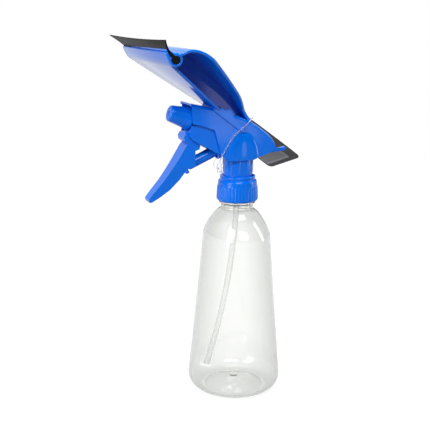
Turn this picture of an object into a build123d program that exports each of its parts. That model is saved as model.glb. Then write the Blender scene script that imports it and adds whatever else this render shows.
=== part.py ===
"""Trigger spray bottle with a squeegee arm on its head, in millimetres.

The origin is the middle of the bottle's base on the surface it stands on, +Z is up,
the nozzle sprays towards -X and the squeegee blade lies along Y.
"""
from math import cos, hypot, pi, radians, sin, sqrt, tan
import os

from build123d import *

os.makedirs("parts", exist_ok=True)

# ---------------------------------------------------------------- driving dimensions
# bottle
BASE_R = 39.3            # radius of the widest level, just above the base
BASE_CORNER_R = 12.0     # rounding between base and side
SHOULDER_Z = 137.0       # where the flanks turn in to the neck
SHOULDER_A = 26.9        # half width along X at the shoulder
SHOULDER_B = 34.2        # half width along Y at the shoulder
NECK_R = 13.3            # plain neck under the cap
NECK_Z = 158.0
BOTTLE_WALL = 0.9
PUNT_H = 8.0             # height of the dome pushed up into the base
PUNT_R = 26.0
STANDING_RING = 2.0      # width of the flat ring that the bottle stands on
RING_R = 15.4            # support ring under the cap
RING_Z = 163.0
RING_T = 1.3
FINISH_R = 12.8          # thread root
FINISH_TOP = 180.6
MOUTH_R = 10.9

# screw thread shared by neck and cap
PITCH = 4.233
THREAD_TURNS = 1.5
THREAD_Z = 170.6
NECK_THREAD_DEPTH = 1.0
CAP_THREAD_DEPTH = 1.4

# cap
CAP_BOTTOM = 164.7
CAP_TOP = 182.3
CAP_R = 17.0
CAP_TOP_R = 16.1
CAP_BORE_R = 14.55
CAP_RING_R = 14.7
CAP_RING_TOP = 186.1
CAP_HOLE_R = 12.65
RIB_COUNT = 40

# head: the collar on the bottle's axis
COLLAR_R = 12.2
COLLAR_WALL = 1.7
COLLAR_TOP = 203.0
FLANGE_R = 13.55
FLANGE_Z = 181.8
FLANGE_T = 1.6
RISER_R = 6.4
RISER_BORE_R = 4.6
RISER_BOTTOM = 183.4
RISER_TOP = 226.0
SOCKET_TOP = 206.0

# pump cylinder: its axis climbs towards the back
PUMP_ANGLE = 24.0
PUMP_X, PUMP_Z = -37.0, 199.7
CYL_R = 7.3
CYL_BORE_R = 6.0
CYL_MOUTH = 17.0         # distances along the pump axis
CYL_END = 35.0
ROD_R = 4.5
ROD_BORE_R = 3.3
ROD_START = -6.0
PISTON_START = 20.0
CUP_START = 23.2
CUP_END = 27.0
RUNNING_GAP = 0.05

# nozzle: its axis climbs towards the front
NOZZLE_ANGLE = 16.0
OUTLET_Z = 221.5         # height where the outlet axis meets the bottle's axis
BARREL_R = 4.6
BARREL_BORE_R = 1.6
BARREL_END = 44.2        # distances along the outlet axis
SPIGOT_R = 5.0
SPIGOT_END = 56.0
NOZZLE_START = 45.0
NOZZLE_END = 62.9
NOZZLE_REAR_R = 9.3
NOZZLE_FRONT_R = 6.5
SEAL_START = 47.0
SEAL_T = 1.8
SEAL_R = 6.4

# shroud, cheeks and trigger
SHROUD_HALF = 12.0
SHROUD_WALL = 1.6
BULGE_R = 13.9
BULGE_TOP = 215.0
SHROUD_BOTTOM = 199.9
ROOF_ROUND = 1.4
CHEEK_OUT = 9.8
CHEEK_IN = 8.0
PIVOT_X, PIVOT_Z = -40.7, 222.3
PIN_R = 1.7
TRIGGER_HALF = 7.6
TRIGGER_WALL = 2.0

# squeegee
HOLDER_HALF = 54.0
FOOT_HALF = 12.0
FLARE_LOW_Z = 240.0
FLARE_HIGH_Z = 283.0
ARM_WALL = 2.2
BULB_X, BULB_Z = -73.7, 283.1
BULB_R = 3.0
CHANNEL_R = 5.2
CHANNEL_BORE_R = 3.25
WEB_HALF = 1.0           # half thickness of the wall between the plates

# hang tag
TAG_L = 66.0
TAG_W = 42.0
TAG_T = 0.6
TAG_HOLE = (5.0, 6.0)    # from the corner, along and across the card
TAG_HOLE_R = 2.2
TAG_CORNER = (11.5, 14.0, 233.2)
TAG_SLOPE = 34.5         # fall of the long edge towards +X
TAG_ROLL = 25.5          # turn of the card about its long edge
LOOP_R = 0.5

# ---------------------------------------------------------------- shared planes
pump_dir = Vector(cos(radians(PUMP_ANGLE)), 0, sin(radians(PUMP_ANGLE)))
outlet_dir = Vector(-cos(radians(NOZZLE_ANGLE)), 0, sin(radians(NOZZLE_ANGLE)))


def pump_plane(distance):
    """Plane square to the pump axis, at a distance along it."""
    origin = Vector(PUMP_X, 0, PUMP_Z) + pump_dir * distance
    return Plane(origin=origin, x_dir=(0, 1, 0), z_dir=pump_dir)


def outlet_plane(distance):
    """Plane square to the outlet axis, at a distance along it."""
    origin = Vector(0, 0, OUTLET_Z) + outlet_dir * distance
    return Plane(origin=origin, x_dir=(0, 1, 0), z_dir=outlet_dir)


def body_axes(z, inset=0.0):
    """Half widths of the bottle along X and Y at a height, less an inset."""
    share = (z - BASE_CORNER_R) / (SHOULDER_Z - BASE_CORNER_R)
    a = BASE_R + (SHOULDER_A - BASE_R) * share
    b = BASE_R + 0.4 + (SHOULDER_B - BASE_R - 0.4) * share
    return a - inset, b - inset


def finish(name, builder):
    """Label one sub-part and write it as its own file."""
    builder.part.label = name
    export_step(builder.part, f"parts/{name}.step")


# ---------------------------------------------------------------- bottle
shoulder_steps = (0.0, 0.3, 0.6, 0.85, 1.0)


def shoulder_sections(inset):
    """Ellipses that round over from the flanks to the round neck."""
    a, b = body_axes(SHOULDER_Z, inset)
    r = NECK_R - inset
    for step in shoulder_steps:
        z = SHOULDER_Z + (NECK_Z - SHOULDER_Z) * step
        ease = 1 - (1 - sqrt(1 - step ** 2)) * 0.62 - step * 0.38
        yield z, r + (a - r) * ease, r + (b - r) * ease


def base_profile(inset, punt_h, floor_z):
    """Half outline of the base: domed underside, rounded corner, up to the flanks."""
    corner = BASE_CORNER_R - inset
    r = BASE_R - inset
    with BuildLine() as outline:
        ThreePointArc((0, punt_h), (PUNT_R * 0.55, floor_z + (punt_h - floor_z) * 0.72),
                      (r - corner - STANDING_RING, floor_z))
        Line((r - corner - STANDING_RING, floor_z), (r - corner, floor_z))
        RadiusArc((r - corner, floor_z), (r, BASE_CORNER_R), -corner)
        Line((r, BASE_CORNER_R), (0, BASE_CORNER_R))
        Line((0, BASE_CORNER_R), (0, punt_h))
    return outline


def bottle_form(inset):
    """Solid of the bottle's body up to the neck, shrunk by an inset."""
    with BuildPart() as form:
        with BuildSketch(Plane.XZ):
            add(base_profile(inset, PUNT_H + inset, inset).line)
            make_face()
        revolve(axis=Axis.Z)
        with BuildSketch(Plane.XY.offset(BASE_CORNER_R)):
            Circle(BASE_R - inset)
        with BuildSketch(Plane.XY.offset(SHOULDER_Z)):
            Ellipse(*body_axes(SHOULDER_Z, inset))
        loft(ruled=True)
        for z, a, b in shoulder_sections(inset):
            with BuildSketch(Plane.XY.offset(z)):
                Ellipse(a, b)
        loft()
        with BuildSketch(Plane.XY.offset(NECK_Z - 0.01)):
            Circle(NECK_R - inset)
        extrude(amount=RING_Z - NECK_Z + 0.02)
    return form


cavity = bottle_form(BOTTLE_WALL)

with BuildPart() as bottle:
    add(bottle_form(0.0).part)
    with BuildSketch(Plane.XY.offset(RING_Z)):
        Circle(RING_R)
    extrude(amount=RING_T)
    with BuildSketch(Plane.XY.offset(RING_Z + RING_T)):
        Circle(FINISH_R)
    extrude(amount=FINISH_TOP - RING_Z - RING_T)
    add(cavity.part, mode=Mode.SUBTRACT)
    with BuildSketch(Plane.XY.offset(RING_Z - 2)):
        Circle(MOUTH_R)
    extrude(amount=FINISH_TOP - RING_Z + 4, mode=Mode.SUBTRACT)
    with BuildLine() as neck_helix:
        Helix(pitch=PITCH, height=PITCH * THREAD_TURNS, radius=FINISH_R, center=(0, 0, THREAD_Z))
    with BuildSketch(Plane(origin=neck_helix.line @ 0, x_dir=(1, 0, 0), z_dir=neck_helix.line % 0)):
        with BuildLine():
            Polyline((-0.4, -1.1), (0, -1.1), (NECK_THREAD_DEPTH, -0.5), (NECK_THREAD_DEPTH, 0.5),
                     (0, 1.1), (-0.4, 1.1), close=True)
        make_face()
    sweep(path=neck_helix.line, is_frenet=True)
finish("bottle", bottle)

# ---------------------------------------------------------------- cap
with BuildPart() as cap:
    with BuildSketch(Plane.XZ):
        with BuildLine():
            Polyline((CAP_HOLE_R, CAP_RING_TOP), (CAP_RING_R - 0.6, CAP_RING_TOP),
                     (CAP_RING_R, CAP_RING_TOP - 0.6), (CAP_RING_R, CAP_TOP),
                     (CAP_TOP_R - 0.5, CAP_TOP), (CAP_TOP_R, CAP_TOP - 0.5), (CAP_R, CAP_BOTTOM + 1.6),
                     (CAP_R - 1.0, CAP_BOTTOM), (CAP_BORE_R, CAP_BOTTOM), (CAP_BORE_R, FINISH_TOP),
                     (FLANGE_R + 0.35, FINISH_TOP + 0.6), (FLANGE_R + 0.35, FLANGE_Z + FLANGE_T + 0.3),
                     (CAP_HOLE_R, FLANGE_Z + FLANGE_T + 0.3), close=True)
        make_face()
    revolve(axis=Axis.Z)
    with PolarLocations(CAP_R - 0.35, RIB_COUNT):
        with Locations((0, 0, CAP_BOTTOM + 7.2)):
            Box(1.3, 1.1, 11.6)
    fillet(cap.edges().group_by(Axis.Z)[-1].sort_by(SortBy.LENGTH)[-1:], 0.25)
    with BuildLine() as cap_helix:
        Helix(pitch=PITCH, height=PITCH * THREAD_TURNS, radius=CAP_BORE_R,
              center=(0, 0, THREAD_Z - PITCH / 2))
    with BuildSketch(Plane(origin=cap_helix.line @ 0, x_dir=(1, 0, 0), z_dir=cap_helix.line % 0)):
        with BuildLine():
            Polyline((0.4, -0.9), (0, -0.9), (-CAP_THREAD_DEPTH, -0.4), (-CAP_THREAD_DEPTH, 0.4),
                     (0, 0.9), (0.4, 0.9), close=True)
        make_face()
    sweep(path=cap_helix.line, is_frenet=True)
finish("cap", cap)

# ---------------------------------------------------------------- head: valve body
cheek_points = [(-44.2, 229.4), (-46.6, 224.0), (-46.3, 221.0), (-43.0, 217.3), (-20.9, 205.5),
                (-17.0, 204.8), (-17.0, 214.0), (-24.0, 229.0)]

with BuildPart() as valve_body:
    # flange, collar and its roof
    with BuildSketch(Plane.XY.offset(FLANGE_Z)):
        Circle(FLANGE_R)
    extrude(amount=FLANGE_T)
    with BuildSketch(Plane.XY.offset(FLANGE_Z + FLANGE_T)):
        Circle(COLLAR_R)
    extrude(amount=COLLAR_TOP - FLANGE_Z - FLANGE_T)
    with BuildSketch(Plane.XY.offset(FLANGE_Z)):
        Circle(COLLAR_R - COLLAR_WALL)
        Circle(RISER_R, mode=Mode.SUBTRACT)
    extrude(amount=COLLAR_TOP - FLANGE_Z - COLLAR_WALL, mode=Mode.SUBTRACT)
    # riser, pump cylinder and outlet barrel
    with BuildSketch(Plane.XY.offset(FLANGE_Z)):
        Circle(RISER_R)
    extrude(amount=RISER_TOP - FLANGE_Z)
    with BuildSketch(pump_plane(CYL_MOUTH)):
        Circle(CYL_R)
    extrude(amount=CYL_END - CYL_MOUTH + 2.5)
    with BuildSketch(outlet_plane(0)):
        Circle(BARREL_R)
    extrude(amount=BARREL_END)
    with BuildSketch(outlet_plane(BARREL_END)):
        Circle(SPIGOT_R)
    extrude(amount=SPIGOT_END - BARREL_END)
    # cheeks that carry the trigger pin, joined by the web over the trigger
    with BuildSketch(Plane.XZ):
        Polygon(*cheek_points, align=None)
    extrude(amount=CHEEK_OUT, both=True)
    with BuildSketch(Plane.XZ):
        with BuildLine():
            Polyline((-60, 231.3), (-24.6, 227.2), (-19.0, 214.2), (-15.0, 203.2), (-60, 200), close=True)
        make_face()
    extrude(amount=CHEEK_IN, both=True, mode=Mode.SUBTRACT)
    with BuildSketch(pump_plane(CYL_MOUTH)):
        Circle(CYL_R)
    extrude(amount=CYL_END - CYL_MOUTH)
    with BuildSketch(outlet_plane(20)):
        Circle(BARREL_R)
    extrude(amount=BARREL_END - 20)
    # catch that reaches out under the shroud's tail
    with BuildSketch(Plane.XZ):
        Polygon((8.0, 206.2), (30.0, 206.0), (42.6, 207.6), (43.4, 206.4), (42.6, 204.7),
                (30.0, 203.4), (8.0, 203.4), align=None)
    extrude(amount=1.8, both=True)
    with BuildSketch(Plane.XZ):
        Polygon((4.0, 202.0), (12.0, 202.0), (12.0, 212.0), (4.0, 219.0), align=None)
    extrude(amount=1.2, both=True)
    # bores
    with BuildSketch(Plane.XY.offset(FLANGE_Z)):
        Circle(RISER_BORE_R)
    extrude(amount=SOCKET_TOP - FLANGE_Z, mode=Mode.SUBTRACT)
    with BuildSketch(Plane.XY.offset(FLANGE_Z)):
        Circle(BARREL_BORE_R)
    extrude(amount=OUTLET_Z - FLANGE_Z + 1, mode=Mode.SUBTRACT)
    with BuildSketch(pump_plane(CYL_MOUTH)):
        Circle(CYL_BORE_R)
    extrude(amount=CYL_END - CYL_MOUTH, mode=Mode.SUBTRACT)
    with BuildSketch(pump_plane(CYL_END)):
        Circle(1.1)
    extrude(amount=5, mode=Mode.SUBTRACT)
    with BuildSketch(outlet_plane(0)):
        Circle(BARREL_BORE_R)
    extrude(amount=SPIGOT_END, mode=Mode.SUBTRACT)
    with BuildSketch(outlet_plane(SPIGOT_END)):
        Circle(3.2)
    extrude(amount=-6.0, mode=Mode.SUBTRACT)
    with Locations(Plane(origin=(PIVOT_X, 0, PIVOT_Z), z_dir=(0, 1, 0))):
        Hole(PIN_R, depth=20)
finish("valve_body", valve_body)

# ---------------------------------------------------------------- head: pieces inside it
with BuildPart() as mouth_gasket:
    with BuildSketch(Plane.XY.offset(FINISH_TOP + 0.02)):
        Circle(FLANGE_R - 0.15)
        Circle(RISER_BORE_R + 4.0, mode=Mode.SUBTRACT)
    extrude(amount=FLANGE_Z - FINISH_TOP - 0.02)
finish("mouth_gasket", mouth_gasket)

TUBE_R = 2.5
TUBE_TOP = 196.0
TUBE_BEND_Z = 180.0
TUBE_BEND_R = 500.0
TUBE_BEND = 18.4
SEAT_R = 1.5
BALL_R = 2.4
BALL_LIFT = 0.3

with BuildPart() as tube_socket:
    with BuildSketch(Plane.XY.offset(FLANGE_Z - 1.6)):
        Circle(RISER_BORE_R)
    extrude(amount=SOCKET_TOP - FLANGE_Z + 1.6)
    with BuildSketch(Plane.XY.offset(FLANGE_Z - 1.6)):
        Circle(TUBE_R)
    extrude(amount=TUBE_TOP - FLANGE_Z + 1.6, mode=Mode.SUBTRACT)
    with BuildSketch(Plane.XY.offset(TUBE_TOP)):
        Circle(SEAT_R)
    extrude(amount=3.0, mode=Mode.SUBTRACT)
    with BuildSketch(Plane.XY.offset(TUBE_TOP + 3.0)):
        Circle(BALL_R + 0.8)
    extrude(amount=20, mode=Mode.SUBTRACT)
finish("tube_socket", tube_socket)

with BuildPart() as dip_tube:
    with BuildLine() as tube_path:
        Line((0, 0, TUBE_TOP), (0, 0, TUBE_BEND_Z))
        drop = TUBE_BEND_R * sin(radians(TUBE_BEND))
        lean = TUBE_BEND_R * (1 - cos(radians(TUBE_BEND)))
        half_drop = TUBE_BEND_R * sin(radians(TUBE_BEND / 2))
        half_lean = TUBE_BEND_R * (1 - cos(radians(TUBE_BEND / 2)))
        ThreePointArc((0, 0, TUBE_BEND_Z), (-half_lean, 0, TUBE_BEND_Z - half_drop),
                      (-lean, 0, TUBE_BEND_Z - drop))
    with BuildSketch(Plane.XY.offset(TUBE_TOP)):
        Circle(TUBE_R)
        Circle(TUBE_R - 0.7, mode=Mode.SUBTRACT)
    sweep(path=tube_path.line)
finish("dip_tube", dip_tube)

with BuildPart() as inlet_ball:
    ball_z = TUBE_TOP + 3.0 + sqrt(BALL_R ** 2 - SEAT_R ** 2) + BALL_LIFT
    with Locations((0, 0, ball_z)):
        Sphere(BALL_R)
finish("inlet_ball", inlet_ball)

with BuildPart() as outlet_valve:
    with BuildSketch(outlet_plane(SPIGOT_END - 6.0)):
        Circle(3.15)
    extrude(amount=0.8)
    with BuildSketch(outlet_plane(SPIGOT_END - 5.2)):
        Circle(1.2)
    extrude(amount=1.2, taper=25)
finish("outlet_valve", outlet_valve)

with BuildPart() as spin_insert:
    with BuildSketch(outlet_plane(SPIGOT_END - 3.9)):
        Circle(3.15)
    extrude(amount=3.9)
    with BuildSketch(outlet_plane(SPIGOT_END - 3.9)):
        Circle(2.2)
    extrude(amount=2.6, mode=Mode.SUBTRACT)
    with BuildSketch(outlet_plane(SPIGOT_END)):
        with PolarLocations(1.9, 3):
            Rectangle(2.4, 0.7)
    extrude(amount=-3.9, mode=Mode.SUBTRACT)
finish("spin_insert", spin_insert)

# ---------------------------------------------------------------- pump: rod, cup and spring
with BuildPart() as piston_rod:
    with BuildSketch(pump_plane(ROD_START)):
        Circle(ROD_R)
    extrude(amount=PISTON_START - ROD_START)
    with Locations(pump_plane(ROD_START)):
        Sphere(ROD_R)
    with BuildSketch(pump_plane(PISTON_START)):
        Circle(CYL_BORE_R - RUNNING_GAP)
    extrude(amount=1.6)
    with BuildSketch(pump_plane(PISTON_START)):
        Circle(ROD_R)
    extrude(amount=CUP_END - 0.6 - PISTON_START)
    with BuildSketch(pump_plane(0)):
        Circle(ROD_BORE_R)
    extrude(amount=40, mode=Mode.SUBTRACT)
finish("piston_rod", piston_rod)

with BuildPart() as piston_cup:
    with BuildSketch(pump_plane(CUP_START)):
        Circle(CYL_BORE_R - RUNNING_GAP)
        Circle(ROD_R, mode=Mode.SUBTRACT)
    extrude(amount=CUP_END - CUP_START)
finish("piston_cup", piston_cup)

SPRING_R = 2.45
SPRING_WIRE_R = 0.4
SPRING_COILS = 9
SPRING_START = 0.8
with BuildPart() as return_spring:
    spring_length = CYL_END - SPRING_START - 1.0
    spring_plane = pump_plane(SPRING_START)
    with BuildLine() as coil:
        Helix(pitch=spring_length / SPRING_COILS, height=spring_length, radius=SPRING_R,
              center=spring_plane.origin, direction=pump_dir)
    with BuildSketch(Plane(origin=coil.line @ 0, z_dir=coil.line % 0)):
        Circle(SPRING_WIRE_R)
    sweep(path=coil.line, is_frenet=True)
finish("return_spring", return_spring)

# ---------------------------------------------------------------- trigger and its pin
trigger_outline = [(-44.8, 224.4), (-48.6, 223.0), (-50.2, 220.4), (-49.6, 217.2), (-46.6, 214.6),
                   (-48.4, 212.8), (-51.6, 207.4), (-55.4, 201.4), (-60.2, 194.2), (-67.0, 185.0),
                   (-74.4, 176.6), (-78.9, 171.0), (-78.2, 168.6), (-76.2, 168.5), (-69.4, 172.4),
                   (-61.0, 178.2), (-53.2, 186.0), (-47.0, 194.2), (-40.4, 195.9), (-40.4, 208.8),
                   (-36.8, 210.0), (-35.6, 222.4), (-38.8, 226.2), (-42.4, 226.4)]
PAD_GAP = 0.35
pad_start = ROD_START - ROD_R - PAD_GAP

with BuildPart() as trigger:
    with BuildSketch(Plane.XZ):
        Polygon(*trigger_outline, align=None)
    extrude(amount=TRIGGER_HALF, both=True)
    # finger face narrows towards the tip
    with BuildSketch(Plane.YZ.offset(-90)):
        Polygon((-TRIGGER_HALF, 230), (TRIGGER_HALF, 230), (TRIGGER_HALF, 205), (5.0, 166),
                (-5.0, 166), (-TRIGGER_HALF, 205), align=None)
    extrude(amount=70, mode=Mode.INTERSECT)
    # hollow back, open towards the bottle
    with BuildSketch(Plane.XZ):
        Polygon((-42.9, 217.6), (-44.6, 213.0), (-49.4, 205.4), (-56.4, 194.8), (-60.0, 189.4),
                (-57.4, 187.2), (-51.0, 180.0), (-30.0, 180.0), (-30.0, 214.0), (-36.0, 214.0),
                (-38.6, 217.2), align=None)
    extrude(amount=TRIGGER_HALF - TRIGGER_WALL, both=True, mode=Mode.SUBTRACT)
    # pad that pushes on the rod
    with BuildSketch(pump_plane(pad_start)):
        Rectangle(2 * (TRIGGER_HALF - 0.4), 8.4)
    extrude(amount=-2.6)
    with Locations(Plane(origin=(PIVOT_X, 0, PIVOT_Z), z_dir=(0, 1, 0))):
        Hole(PIN_R + RUNNING_GAP, depth=20)
finish("trigger", trigger)

with BuildPart() as trigger_pin:
    with BuildSketch(Plane(origin=(PIVOT_X, -CHEEK_OUT - 0.4, PIVOT_Z), z_dir=(0, 1, 0))):
        Circle(PIN_R)
    extrude(amount=2 * CHEEK_OUT + 0.8)
finish("trigger_pin", trigger_pin)

# ---------------------------------------------------------------- nozzle
with BuildPart() as nozzle:
    with BuildSketch(outlet_plane(NOZZLE_START)):
        Circle(NOZZLE_REAR_R)
    with BuildSketch(outlet_plane(NOZZLE_END)):
        Circle(NOZZLE_FRONT_R)
    loft()
    fillet(nozzle.edges().filter_by(GeomType.CIRCLE).sort_by(Axis.X)[0], 1.6)
    with BuildSketch(outlet_plane(NOZZLE_START)):
        Circle(SPIGOT_R + RUNNING_GAP)
    extrude(amount=SPIGOT_END + 0.6 - NOZZLE_START, mode=Mode.SUBTRACT)
    with BuildSketch(outlet_plane(SEAL_START - RUNNING_GAP)):
        Circle(SEAL_R + RUNNING_GAP)
    extrude(amount=SEAL_T + 2 * RUNNING_GAP, mode=Mode.SUBTRACT)
    with BuildSketch(outlet_plane(NOZZLE_START)):
        Circle(0.45)
    extrude(amount=30, mode=Mode.SUBTRACT)
    with BuildSketch(outlet_plane(NOZZLE_END - 0.8)):
        Circle(1.6)
    extrude(amount=1.0, mode=Mode.SUBTRACT)
finish("nozzle", nozzle)

with BuildPart() as nozzle_seal:
    with BuildSketch(outlet_plane(SEAL_START)):
        Circle(SEAL_R)
        Circle(SPIGOT_R + RUNNING_GAP, mode=Mode.SUBTRACT)
    extrude(amount=SEAL_T)
finish("nozzle_seal", nozzle_seal)

# ---------------------------------------------------------------- shroud
roof_points = [(-46.3, 246.9), (-38.8, 245.3), (-20.1, 241.3), (-9.2, 237.0), (-0.8, 234.4), (6.8, 231.2),
               (20.6, 221.4)]

with BuildPart() as shroud:
    with BuildSketch(Plane.XZ):
        with BuildLine():
            Polyline((-46.3, 244.6), *roof_points)
            ThreePointArc((20.6, 221.4), (28.2, 211.8), (22.4, 204.8))
            Polyline((22.4, 204.8), (7.7, SHROUD_BOTTOM), (-13.0, SHROUD_BOTTOM), (-17.6, 202.7), (-19.7, 205.3),
                     (-25.8, 225.2), (-38.6, 229.7), (-44.6, 230.3), (-44.6, 244.6), (-46.3, 244.6))
        make_face()
    extrude(amount=SHROUD_HALF, both=True)
    side_edges = shroud.faces().filter_by(Axis.Y).edges()
    roof_edges = side_edges.filter_by_position(Axis.X, -40, 30).filter_by_position(Axis.Z, 212, 246)
    fillet(roof_edges, ROOF_ROUND)
    with BuildSketch(Plane.XY.offset(SHROUD_BOTTOM)):
        Circle(BULGE_R)
    extrude(amount=BULGE_TOP - COLLAR_TOP)
    with BuildSketch(Plane.XY.offset(SHROUD_BOTTOM + BULGE_TOP - COLLAR_TOP)):
        Circle(BULGE_R)
    with BuildSketch(Plane.XY.offset(SHROUD_BOTTOM + BULGE_TOP - COLLAR_TOP + 11)):
        Circle(SHROUD_HALF - 0.6)
    loft()
shroud_outside = shroud.part

with BuildPart() as shroud_hollow:
    with BuildSketch(Plane.XZ):
        with BuildLine():
            Polyline((-60.0, 244.6), (-38.4, 243.6), (-20.4, 239.6), (-9.6, 235.4), (-1.4, 232.7), (5.9, 229.7),
                     (19.3, 220.1))
            ThreePointArc((19.3, 220.1), (26.5, 212.4), (25.4, 207.0))
            Polyline((25.4, 207.0), (25.4, 190.0), (-60.0, 190.0), (-60.0, 244.6))
        make_face()
    extrude(amount=SHROUD_HALF - SHROUD_WALL, both=True)
    with BuildSketch(Plane.XY.offset(199.0)):
        Circle(COLLAR_R + 0.3)
    extrude(amount=14)

with BuildPart() as shroud_shell:
    add(shroud_outside)
    add(shroud_hollow.part, mode=Mode.SUBTRACT)
    # slot for the catch
    with Locations((30, 0, 204.9)):
        Box(20, 4.4, 4.6, mode=Mode.SUBTRACT)
finish("shroud", shroud_shell)

# ---------------------------------------------------------------- squeegee arm
def band(points, thickness):
    """Closed outline of a plate: a smooth line and the same line moved inwards."""
    inner = []
    for i, (x, z) in enumerate(points):
        x0, z0 = points[max(i - 1, 0)]
        x1, z1 = points[min(i + 1, len(points) - 1)]
        length = hypot(x1 - x0, z1 - z0)
        inner.append((x + (z1 - z0) / length * -thickness, z + (x1 - x0) / length * thickness))
    with BuildLine() as outline:
        Spline(*points)
        Spline(*inner)
        Line(points[0], inner[0])
        Line(points[-1], inner[-1])
    return outline


rear_plate = [(7.0, 229.5), (-6.2, 249.4), (-17.6, 261.0), (-35.5, 276.8), (-46.2, 285.4),
              (-52.8, 288.9), (-58.9, 290.4), (-64.3, 290.0), (-70.6, 286.9)]
saddle_line = [(-27.0, 244.4), (-20.1, 242.9), (-10.0, 238.9), (-10.0, 236.0), (-20.1, 240.0), (-27.0, 241.6)]
web_line = [(-20.8, 241.5), (-66.0, 272.9), (-69.6, 279.5), (-69.2, 286.0), (-64.3, 288.6), (-58.9, 289.1),
            (-52.8, 287.6), (-46.2, 284.2), (-35.5, 275.6), (-17.6, 259.8), (-6.2, 248.2), (5.0, 231.4),
            (0.0, 232.0), (-10.0, 235.5), (-20.8, 239.8)]
lug_points = [(-27.7, 242.9), (-26.6, 240.4), (-2.6, 222.9), (-0.6, 223.0), (-0.2, 224.8), (-10.6, 236.6),
              (-10.6, 238.6), (-20.0, 242.6)]

with BuildPart() as squeegee_arm:
    with BuildSketch(Plane.XZ):
        # front plate and its lip
        Polygon((-20.8, 242.7), (-17.0, 238.5), (-22.0, 238.5), (-78.1, 279.3), (-76.2, 280.7), align=None)
        Polygon((-78.1, 279.3), (-81.9, 287.9), (-80.3, 289.4), (-74.6, 281.6), align=None)
        # rear plate and its lip
        with BuildLine():
            add(band(rear_plate, ARM_WALL).line)
        make_face()
        Polygon((-70.6, 287.3), (-80.9, 292.9), (-80.4, 290.6), (-73.6, 284.9), align=None)
        # channel round the blade's bulb
        with Locations((BULB_X, BULB_Z)):
            Circle(CHANNEL_R)
            Circle(CHANNEL_BORE_R, mode=Mode.SUBTRACT)
        with BuildLine():
            Polyline((BULB_X, BULB_Z), (BULB_X - 0.9, BULB_Z - 0.8), (-81.4, 289.0), (-80.6, 291.4),
                     (BULB_X + 0.9, BULB_Z + 0.8), (BULB_X, BULB_Z))
        make_face(mode=Mode.SUBTRACT)
    extrude(amount=HOLDER_HALF, both=True)
    with BuildSketch(Plane.YZ.offset(-95)):
        Polygon((-FOOT_HALF, 220), (FOOT_HALF, 220), (FOOT_HALF, FLARE_LOW_Z), (HOLDER_HALF, FLARE_HIGH_Z),
                (HOLDER_HALF, 300), (-HOLDER_HALF, 300), (-HOLDER_HALF, FLARE_HIGH_Z),
                (-FOOT_HALF, FLARE_LOW_Z), align=None)
    extrude(amount=120, mode=Mode.INTERSECT)
    # middle wall that joins the two plates
    with BuildSketch(Plane.XZ):
        Polygon(*web_line, align=None)
    extrude(amount=WEB_HALF, both=True)
    # saddle over the roof with a lug down each side of the shroud
    with BuildSketch(Plane.XZ):
        Polygon(*saddle_line, align=None)
    extrude(amount=SHROUD_HALF + 1.4, both=True)
    with BuildSketch(Plane.XZ):
        Polygon(*lug_points, align=None)
        with Locations((-14.4, 239.4)):
            Circle(3.0)
    extrude(amount=SHROUD_HALF + 1.6, both=True)
    with BuildSketch(Plane.XZ):
        Polygon((-30, 239.4), (-11, 233.2), (10, 222), (-30, 222), align=None)
    extrude(amount=SHROUD_HALF, both=True, mode=Mode.SUBTRACT)
    add(shroud_outside, mode=Mode.SUBTRACT)
finish("squeegee_arm", squeegee_arm)

# ---------------------------------------------------------------- squeegee blade
with BuildPart() as squeegee_blade:
    with BuildSketch(Plane.XZ):
        with Locations((BULB_X, BULB_Z)):
            Circle(BULB_R)
        Polygon((-74.4, 282.5), (-81.2, 289.4), (-92.6, 297.0), (-92.9, 297.6), (-80.4, 291.0),
                (-72.9, 283.8), align=None)
    extrude(amount=HOLDER_HALF, both=True)
finish("squeegee_blade", squeegee_blade)

# ---------------------------------------------------------------- hang tag
long_edge = Vector(cos(radians(TAG_SLOPE)), 0, -sin(radians(TAG_SLOPE)))
level_edge = Vector(0, 1, 0)
fall = long_edge.cross(level_edge)
short_edge = level_edge * cos(radians(TAG_ROLL)) - fall * sin(radians(TAG_ROLL))
tag_plane = Plane(origin=TAG_CORNER, x_dir=long_edge, z_dir=long_edge.cross(short_edge))

with BuildPart() as tag_card:
    with BuildSketch(tag_plane):
        Rectangle(TAG_L, TAG_W, align=(Align.MIN, Align.MIN))
        fillet(vertices(), 4.0)
        with Locations(TAG_HOLE):
            Circle(TAG_HOLE_R, mode=Mode.SUBTRACT)
    extrude(amount=TAG_T)
finish("tag_card", tag_card)

# ---------------------------------------------------------------- loop that ties the tag on
LOCK_SIZE = (4.6, 2.4, 8.0)
LOCK_CENTRE = (-22.4, -15.2, 195.4)
LOOP_BEND = 0.45         # share of the shorter run that an arc may take
loop_route = [(-22.4, -15.2, 199.4), (-22.2, -15.2, 203.2), (-18.8, -15.6, 208.6), (-15.2, -15.8, 215.0),
              (-11.0, -16.0, 221.0), (-5.4, -16.2, 225.6), (1.0, -16.2, 230.0), (5.4, -13.6, 234.0),
              (8.8, -7.8, 233.6), (10.8, -1.0, 232.0), (12.2, 6.4, 231.6), (13.4, 12.4, 232.8),
              (14.2, 17.6, 232.6), (14.16, 19.6, 228.2), (12.4, 19.4, 221.6), (7.0, 18.2, 215.2),
              (-1.0, 17.0, 208.8), (-9.0, 16.2, 202.2), (-15.6, 12.8, 196.8), (-19.8, 5.4, 194.2),
              (-21.8, -2.6, 194.0), (-22.4, -9.4, 194.6), (-22.4, -14.0, 194.6)]

with BuildPart() as tag_lock:
    with Locations(LOCK_CENTRE):
        Box(*LOCK_SIZE)
    fillet(tag_lock.edges().filter_by(Axis.Y), 1.1)
finish("tag_lock", tag_lock)

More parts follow.
